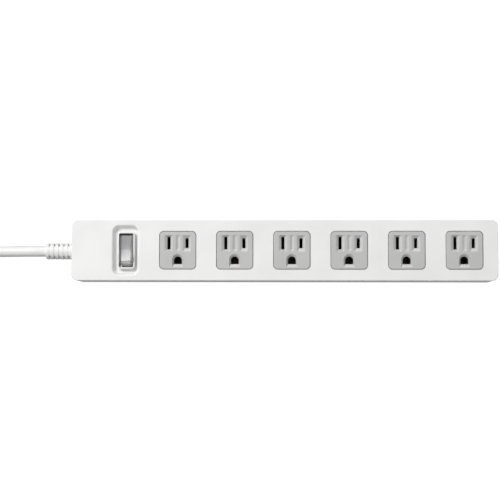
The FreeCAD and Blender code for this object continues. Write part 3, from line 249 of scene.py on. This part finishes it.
def clear_plastic(name, clarity=1.0):
    """Polished see-through plastic with faint flow marks, a little milky if asked."""
    material, tree, shader = new_material(name, colour=(0.985, 0.99, 0.99), roughness=0.08)
    shader.inputs["Transmission Weight"].default_value = clarity
    shader.inputs["IOR"].default_value = 1.49
    polish = spread(tree, noise(tree, scale=250.0), low=0.05, high=0.14)
    tree.links.new(polish, shader.inputs["Roughness"])
    bump(tree, shader, noise(tree, scale=180.0, detail=1.0), depth=0.00008)
    return material


def vinyl(name, colour):
    """A soft cord or wire jacket: faint ripples and a low sheen."""
    material, tree, shader = new_material(name, colour, roughness=0.42)
    cloud = spread(tree, noise(tree, scale=60.0), low=0.0, high=1.0)
    tree.links.new(blend_colours(tree, cloud, colour, scaled(colour, by=0.95)), shader.inputs["Base Color"])
    polish = spread(tree, noise(tree, scale=500.0), low=0.36, high=0.48)
    tree.links.new(polish, shader.inputs["Roughness"])
    bump(tree, shader, noise(tree, scale=260.0, detail=2.0), depth=0.00006)
    return material


def webbing(name, colour):
    """A woven strap: fine crossing ribs with a little fuzz."""
    material, tree, shader = new_material(name, colour, roughness=0.85)
    shader.inputs["Sheen Weight"].default_value = 0.3
    place = tree.nodes.new("ShaderNodeTexCoord")
    ribs = []
    for direction in ("X", "DIAGONAL"):
        wave = tree.nodes.new("ShaderNodeTexWave")
        wave.bands_direction = direction
        wave.inputs["Scale"].default_value = 600.0
        wave.inputs["Distortion"].default_value = 0.6
        tree.links.new(place.outputs["Object"], wave.inputs["Vector"])
        ribs.append(wave.outputs["Fac"])
    cross = tree.nodes.new("ShaderNodeMath")
    cross.operation = "MULTIPLY"
    tree.links.new(ribs[0], cross.inputs[0])
    tree.links.new(ribs[1], cross.inputs[1])
    woven = blend_colours(tree, cross.outputs["Value"], scaled(colour, by=0.6), colour)
    tree.links.new(woven, shader.inputs["Base Color"])
    bump(tree, shader, cross.outputs["Value"], depth=0.0001)
    return material


def frosted_with_painted_shade(name):
    """A strip pale towards -Y and painted grey towards +Y as painted shade."""
    material, tree, shader = new_material(name, colour=(0.6, 0.6, 0.6), roughness=0.3)
    fade = map_range(tree, coordinate(tree, "Object", "Y"), PAINTED_SHADE_FADE, (0.0, 1.0), smooth=True)
    tree.links.new(blend_colours(tree, fade, STRIP_PALE, STRIP_PAINTED_SHADE), shader.inputs["Base Color"])
    bump(tree, shader, noise(tree, scale=700.0, detail=2.0), depth=0.00004)
    return material


def make_materials():
    """One material for each slot of the record, and one for the rocker's strip."""
    return {
        # The rocker's strip material paints shade: grey towards +Y, pale towards -Y.
        "rocker_strip": frosted_with_painted_shade("rocker_strip"),
        "housing_white": plastic("housing_white", (0.80, 0.80, 0.795), 0.42),
        "insert_grey": plastic("insert_grey", (0.492, 0.494, 0.489), 0.4, grain=2500.0),
        "rocker_clear": clear_plastic("rocker_clear", clarity=0.86),
        "cord_white": vinyl("cord_white", (0.78, 0.78, 0.775)),
        # The contacts are painted nearly black, far darker than brass: painted shade inside the outlet slots.
        "contact_brass": metal("contact_brass", (0.10, 0.07, 0.045), 0.45),
        "pin_nickel": metal("pin_nickel", (0.72, 0.71, 0.68), 0.22),
        "screw_steel": metal("screw_steel", (0.55, 0.56, 0.58), 0.32),
        "case_white": plastic("case_white", (0.70, 0.70, 0.69), 0.4),
        "lamp_glass": clear_plastic("lamp_glass"),
        "resistor_body": plastic("resistor_body", (0.60, 0.50, 0.36), 0.5),
        "wire_black": vinyl("wire_black", (0.03, 0.03, 0.03)),
        "wire_white": vinyl("wire_white", (0.75, 0.75, 0.73)),
        "wire_green": vinyl("wire_green", (0.05, 0.28, 0.09)),
        "tie_grey": webbing("tie_grey", (0.32, 0.33, 0.34)),
    }


def dress_nodes(materials):
    """Each model node takes the finish of its slot."""
    for part in frame["record"]["subparts"]:
        thing = frame["nodes"][part["node"]]
        thing.data.materials.clear()
        thing.data.materials.append(materials[part["material_slot"]])


# The cord and its hank: a turn is two straights and two half circles.

LAYERS = [STRAP_THICK + CORD_RADIUS * (2 * n + 1) for n in range(4)]
INNER, OUTER = 25.0 * MM, 32.6 * MM
NEAR_END, HANK_Y, STRAIGHT = -257.9 * MM, -15.2 * MM, 54.0 * MM
ARC_POINTS, ARC_STEP = 6, math.radians(30)
# The climb of the last half circle, towards the plug.
LAST_RISE = 0.9 * CORD_RADIUS

# From inside the housing to the hank.
FREE_RUN = points_mm(
    (-129, 0, 12), (-165, 0, 12), (-186, 0, 12), (-219.03, 0, 4.6), (-241.6, 13.03, 4.6),
)
# From the hank up to the plug.
PLUG_LEAD = points_mm(
    (-263.9, 17.4, 35.85), (-323.5, 17.4, 35.85), (-339.9, 1.0, 36.85), (-339.9, -22.2, 41.0),
    (-323.5, -38.6, 43.0), (-300.3, -38.6, 43.0),
)


def end_arc(middle_x, first, track, height):
    """Control points of one end of a turn: track and height run between two values each."""
    found = []
    for n in range(ARC_POINTS):
        angle = first + ARC_STEP * (n + 0.5)
        share = (n + 0.5) / ARC_POINTS
        radius = between(track, share) / math.cos(ARC_STEP / 2)
        found.append(Vector((middle_x + radius * math.cos(angle), HANK_Y + radius * math.sin(angle),
                             between(height, share))))
    return found


def near_arc(track, height):
    """The end of a turn nearest the housing."""
    return end_arc(NEAR_END, -math.pi / 2, track, height)


def far_arc(track, height):
    """The end of a turn farthest from the housing."""
    return end_arc(NEAR_END - STRAIGHT, math.pi / 2, track, height)


def hank_points():
    """Four layers of two turns, wound flat: out, in, up, in, out, up, and so on."""
    outside, inside = (OUTER, OUTER), (INNER, INNER)
    low, second, third, top = [(z, z) for z in LAYERS]
    leaving = (LAYERS[3], LAYERS[3] + LAST_RISE)
    points = near_arc(outside, low)[-1:]
    for base, above, last in ((low, second, second), (third, top, leaving)):
        points += far_arc(outside, base) + near_arc((OUTER, INNER), base)
        points += far_arc(inside, base) + near_arc(inside, above)
        points += far_arc((INNER, OUTER), above) + near_arc(outside, last)
    return points


def add_cord(material):
    """The whole lead from the clamp to the plug, as one round curve."""
    curve = bpy.data.curves.new("lead", "CURVE")
    curve.dimensions = "3D"
    curve.bevel_depth = CORD_RADIUS
    curve.bevel_resolution = 6
    curve.resolution_u = 10
    curve.use_fill_caps = True
    points = FREE_RUN + hank_points() + PLUG_LEAD
    spline = curve.splines.new("NURBS")
    spline.points.add(len(points) - 1)
    for point, place in zip(spline.points, points):
        point.co = (*place, 1.0)
    spline.order_u = 3
    spline.use_endpoint_u = True
    curve.materials.append(material)
    lead = bpy.data.objects.new("lead", curve)
    bpy.context.collection.objects.link(lead)
    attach(lead, "housing")
    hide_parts("power_cord", "cord_hank")
    return lead


# Detailed pieces.

SMOOTH_BELOW = math.radians(38)
# A round corner turns through this many degrees, in so many steps.
QUARTER, CORNER_STEPS = 90, 8


def mesh_piece(name, bm, material, slot, *nodes, body="housing"):
    """A finished piece on a body, standing for the given nodes if there are any."""
    bmesh.ops.recalc_face_normals(bm, faces=bm.faces)
    mesh = bpy.data.meshes.new(name)
    bm.to_mesh(mesh)
    bm.free()
    mesh.materials.append(material)
    mesh.polygons.foreach_set("use_smooth", [True] * len(mesh.polygons))
    mesh.set_sharp_from_angle(angle=SMOOTH_BELOW)
    piece = bpy.data.objects.new(name, mesh)
    bpy.context.collection.objects.link(piece)
    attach(piece, body)
    if nodes:
        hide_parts(*nodes)
    return piece


def skin(bm, rings, closed=False):
    """Faces between rings of as many points each; the ends are capped unless the rings close."""
    rows = [[bm.verts.new(p) for p in ring] for ring in rings]
    count = len(rows[0])
    followers = rows[1:] + rows[:1] if closed else rows[1:]
    for first, second in zip(rows, followers):
        for n in range(count):
            bm.faces.new((first[n], first[(n + 1) % count], second[(n + 1) % count], second[n]))
    if not closed:
        bm.faces.new(rows[0][::-1])
        bm.faces.new(rows[-1])


def rounded_loop(low, high, radius):
    """Points round a rectangle with round corners, given two opposite corners."""
    points = []
    corners = ((high[0], high[1], 0), (low[0], high[1], 90), (low[0], low[1], 180), (high[0], low[1], 270))
    for x, y, start in corners:
        outward = math.radians(start + QUARTER / 2)
        middle_x = x - math.copysign(radius, math.cos(outward))
        middle_y = y - math.copysign(radius, math.sin(outward))
        for n in range(CORNER_STEPS + 1):
            angle = math.radians(start + QUARTER * n / CORNER_STEPS)
            points.append((middle_x + radius * math.cos(angle), middle_y + radius * math.sin(angle)))
    return points


# The strap's section, with eased edges: across its half width, and out through its thickness.
STRAP_SECTION = (
    (-1.0, 0.3), (-0.96, 0.05), (-0.5, 0.0), (0.5, 0.0), (0.96, 0.05), (1.0, 0.3), (1.0, 0.7),
    (0.96, 0.95), (0.5, 1.0), (-0.5, 1.0), (-0.96, 0.95), (-1.0, 0.7),
)
# The loose end lies along Y on top, a little narrower, and thickens from a thin tip.
LAP_START, LAP_END, LAP_STEPS = -21.0, 9.0, 12
LAP_GAP, LAP_TIP, LAP_RISE_STEPS, LAP_WIDTH = 0.02 * MM, 0.1 * MM, 2, 0.97


def strap_rings(outer, inner, middle_x, half_width):
    """The strap's section at each point between an outer and an inner line."""
    rings = []
    for (outer_y, outer_z), (inner_y, inner_z) in zip(outer, inner):
        rings.append([(middle_x + across * half_width, between((inner_y, outer_y), out),
                       between((inner_z, outer_z), out)) for across, out in STRAP_SECTION])
    return rings


def add_strap(material):
    """A woven strap round the hank, with its loose end lapped over on top."""
    low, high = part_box("cord_tie")
    middle_x, half_width = (low[0] + high[0]) / 2, (high[0] - low[0]) / 2
    thick = STRAP_THICK
    bm = bmesh.new()
    outer = rounded_loop((low[1], low[2]), (high[1], high[2]), CORD_RADIUS + thick)
    inner = rounded_loop((low[1] + thick, low[2] + thick), (high[1] - thick, high[2] - thick), CORD_RADIUS)
    skin(bm, strap_rings(outer, inner, middle_x, half_width), closed=True)
    steps = range(LAP_STEPS + 1)
    lap = [(LAP_START + (LAP_END - LAP_START) * n / LAP_STEPS) * MM for n in steps]
    rise = [thick * min(1.0, n / LAP_RISE_STEPS) for n in steps]
    upper = [(y, high[2] + lift + LAP_GAP) for y, lift in zip(lap, rise)]
    upper[0] = (lap[0], high[2] + LAP_TIP)
    lower = [(y, high[2] + LAP_GAP) for y in lap]
    skin(bm, strap_rings(upper, lower, middle_x, half_width * LAP_WIDTH))
    return mesh_piece("strap", bm, material, "tie_grey", "cord_tie")


# The plug's moulding, in millimetres: distance from the tail's end, half width, half height, and how
# square the section is (2 is round).
PLUG_STATIONS = (
    (0.0, 4.3, 4.3, 2.0), (0.4, 4.6, 4.6, 2.0), (23.0, 6.4, 6.4, 2.0), (25.0, 7.6, 7.4, 2.1),
    (27.5, 9.6, 8.8, 2.5), (30.5, 11.4, 9.9, 3.1), (34.0, 12.2, 10.4, 3.6), (38.0, 12.0, 10.6, 3.9),
    (44.0, 11.5, 10.7, 4.1), (50.0, 11.8, 10.8, 4.3), (55.0, 12.6, 10.9, 4.5), (60.0, 13.0, 11.0, 4.6),
    (61.4, 12.9, 10.9, 4.6), (61.85, 12.6, 10.6, 4.6), (62.0, 12.2, 10.2, 4.6),
)
PLUG_STEP, PLUG_STEPS, PLUG_SIDES = 0.4, 154, 64
# Grooves round the tail; each takes up this share of its pitch.
GROOVES, GROOVE_START, GROOVE_PITCH, GROOVE_DEPTH, GROOVE_SHARE = 5, 3.4, 3.6, 1.0, 0.62
# Finger grips on the two sides: they begin and rise over these shares of the half width, and die out
# at this share of the half height.
GRIPS, GRIP_START, GRIP_PITCH, GRIP_HEIGHT = 5, 39.0, 3.0, 0.45
GRIP_FROM, GRIP_RISE, GRIP_BAND = 0.55, 0.45, 0.62


def plug_profile(distance):
    """Half width, half height and squareness between the listed stations."""
    for first, second in zip(PLUG_STATIONS, PLUG_STATIONS[1:]):
        if distance <= second[0]:
            share = (distance - first[0]) / (second[0] - first[0])
            return [between(pair, share) for pair in zip(first[1:], second[1:])]
    return PLUG_STATIONS[-1][1:]


def groove_depth(distance):
    """How deep the grooves are at a distance from the tail's end."""
    depth = 0.0
    for n in range(GROOVES):
        away = abs(distance - GROOVE_START - n * GROOVE_PITCH) / (GROOVE_PITCH / 2)
        if away < GROOVE_SHARE:
            depth = max(depth, GROOVE_DEPTH * (1 - away ** 4))
    return depth


def grip_height(distance):
    """How far the finger grips stand out at a distance from the tail's end."""
    height = 0.0
    for n in range(GRIPS):
        away = abs(distance - GRIP_START - n * GRIP_PITCH) / (GRIP_PITCH / 2)
        if away < 1:
            height = max(height, GRIP_HEIGHT * math.cos(away * math.pi / 2))
    return height


def add_plug(material):
    """A moulded straight plug: a grooved tail, drawn unbent, a waisted body and finger grips."""
    low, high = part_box("plug_body")
    y, z = (low[1] + high[1]) / 2, (low[2] + high[2]) / 2
    distances = {station[0] for station in PLUG_STATIONS}
    distances |= {n * PLUG_STEP for n in range(1, PLUG_STEPS + 1)}
    rings = []
    for distance in sorted(distances):
        half_width, half_height, square = plug_profile(distance)
        groove, grip = groove_depth(distance), grip_height(distance)
        ring = []
        for n in range(PLUG_SIDES):
            angle = 2 * math.pi * n / PLUG_SIDES
            across, up = math.cos(angle), math.sin(angle)
            reach = (abs(across) ** square + abs(up) ** square) ** (-1 / square)
            on_side = max(0.0, abs(across) * reach - GRIP_FROM) / GRIP_RISE
            on_side *= max(0.0, 1 - (up * reach / GRIP_BAND) ** 4)
            side = half_width - groove + grip * min(1.0, on_side * 2)
            ring.append((low[0] + distance * MM, y + across * reach * side * MM,
                         z + up * reach * (half_height - groove) * MM))
        rings.append(ring)
    bm = bmesh.new()
    skin(bm, rings)
    return mesh_piece("plug_moulding", bm, material, "cord_white", "plug_body")


# The clear rocker in millimetres, as the model has it: its pivot, the radius of its round ends, the
# height above the pivot of its top at the ends and in the middle, and its tilt at rest.
PIVOT = (-110.6, 0.0, 20.2)
ROCKER_RADIUS, ROCKER_END, ROCKER_MIDDLE = 11.75, 8.1, 6.0
ROCKER_TILT = math.radians(-10)
# The frosted strip inside it: half width, depth below the top, thickness, how far from the middle it
# bends down, and the angle above the pivot at which it stops.
STRIP_HALF, STRIP_DROP, STRIP_THICK, STRIP_BEND = 3.1, 1.15, 0.25, 8.6
STRIP_STOP = math.radians(12)
STRIP_TOP_STEPS, STRIP_END_STEPS = 12, 8


def strip_path():
    """One half of the strip from the side: along under the top, then down inside the round end."""
    slope = (ROCKER_END - ROCKER_MIDDLE) / math.sqrt(ROCKER_RADIUS ** 2 - ROCKER_END ** 2)
    half = []
    for n in range(STRIP_TOP_STEPS + 1):
        half.append((STRIP_BEND * n / STRIP_TOP_STEPS,
                     ROCKER_MIDDLE - STRIP_DROP + slope * STRIP_BEND * n / STRIP_TOP_STEPS))
    radius, first = math.hypot(*half[-1]), math.atan2(half[-1][1], half[-1][0])
    for n in range(1, STRIP_END_STEPS + 1):
        angle = first + (STRIP_STOP - first) * n / STRIP_END_STEPS
        half.append((radius * math.cos(angle), radius * math.sin(angle)))
    return half


def add_rocker_strip(material):
    """A frosted strip inside the clear rocker's roof and end walls, painted grey towards +Y as painted shade.
    """
    half = strip_path()
    route = [(-y, z) for y, z in half[:0:-1]] + half
    rings = []
    for n, (along, rise) in enumerate(route):
        before, after = route[max(n - 1, 0)], route[min(n + 1, len(route) - 1)]
        heading = Vector((after[0] - before[0], after[1] - before[1])).normalized()
        ring = []
        for across, out in ((-1, 0.0), (1, 0.0), (1, STRIP_THICK), (-1, STRIP_THICK)):
            y, z = along - heading.y * out, rise + heading.x * out
            turned = (y * math.cos(ROCKER_TILT) - z * math.sin(ROCKER_TILT),
                      y * math.sin(ROCKER_TILT) + z * math.cos(ROCKER_TILT))
            ring.append((Vector(PIVOT) + Vector((across * STRIP_HALF, *turned))) * MM)
        rings.append(ring)
    bm = bmesh.new()
    skin(bm, rings)
    return mesh_piece("rocker_strip", bm, material, "case_white", body="rocker")


# The ring on each outlet face, in millimetres: its place from the face's middle, its radius and half
# its line's width. Its section is flattened and partly sunk, by these shares of that half width.
RING_PLACE, RING_RADIUS, RING_HALF = (-8.2, -7.3), 2.2, 0.16
RING_RISE, RING_SINK = 0.6, 0.2
OUTLETS, RING_STEPS, RING_CORNERS = 6, 48, 8


def add_insert_rings(material):
    """A plain raised ring on each outlet face."""
    bm = bmesh.new()
    for n in range(1, OUTLETS + 1):
        low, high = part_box(f"outlet_insert_{n}")
        x = (low[0] + high[0]) / 2 + RING_PLACE[0] * MM
        y = (low[1] + high[1]) / 2 + RING_PLACE[1] * MM
        rings = []
        for step in range(RING_STEPS):
            turn = 2 * math.pi * step / RING_STEPS
            ring = []
            for corner in range(RING_CORNERS):
                angle = 2 * math.pi * corner / RING_CORNERS
                radius = RING_RADIUS + RING_HALF * math.cos(angle)
                ring.append((x + radius * MM * math.cos(turn), y + radius * MM * math.sin(turn),
                             high[2] + (RING_RISE * math.sin(angle) - RING_SINK) * RING_HALF * MM))
            rings.append(ring)
        skin(bm, rings, closed=True)
    return mesh_piece("insert_rings", bm, material, "insert_grey")


# The floor and the whole scene.

FLOOR_GLOW, FLOOR_WHITE, FLOOR_REACH = 1.0, 0.05, 6.0


def add_floor():
    """A wide glowing floor that fills the background; diffuse and glossy rays pass it by."""
    mesh = bpy.data.meshes.new("floor")
    reach = FLOOR_REACH
    corners = [(-reach, -reach, 0), (reach, -reach, 0), (reach, reach, 0), (-reach, reach, 0)]
    mesh.from_pydata(corners, [], [(0, 1, 2, 3)])
    material, tree, shader = new_material("floor", (FLOOR_WHITE,) * 3, roughness=0.7)
    shader.inputs["Emission Color"].default_value = (1.0, 1.0, 1.0, 1.0)
    shader.inputs["Emission Strength"].default_value = FLOOR_GLOW
    tree.links.new(spread(tree, noise(tree, scale=3.0), low=0.65, high=0.75), shader.inputs["Roughness"])
    mesh.materials.append(material)
    floor = bpy.data.objects.new("floor", mesh)
    floor.visible_diffuse = False
    floor.visible_glossy = False
    bpy.context.collection.objects.link(floor)


def main():
    """Camera and cord first, then the light, the floor and the pieces."""
    add_camera()
    materials = make_materials()
    lead = add_cord(materials["cord_white"])
    add_world()
    add_area_light("key", KEY_PLACE, KEY_SIZE, KEY_POWER)
    for name, (place, width, height, power) in LOW_LIGHTS.items():
        add_area_light(name, place, width, power, height).visible_diffuse = False
    add_floor()
    dress_nodes(materials)
    add_insert_rings(materials["insert_grey"])
    add_rocker_strip(materials["rocker_strip"])
    on_cord = [add_strap(materials["tie_grey"]), add_plug(materials["cord_white"])]
    on_cord += [frame["nodes"][n] for n in ("plug_blade_neutral", "plug_blade_line", "plug_ground_pin",
                                            "strain_relief")]


main()
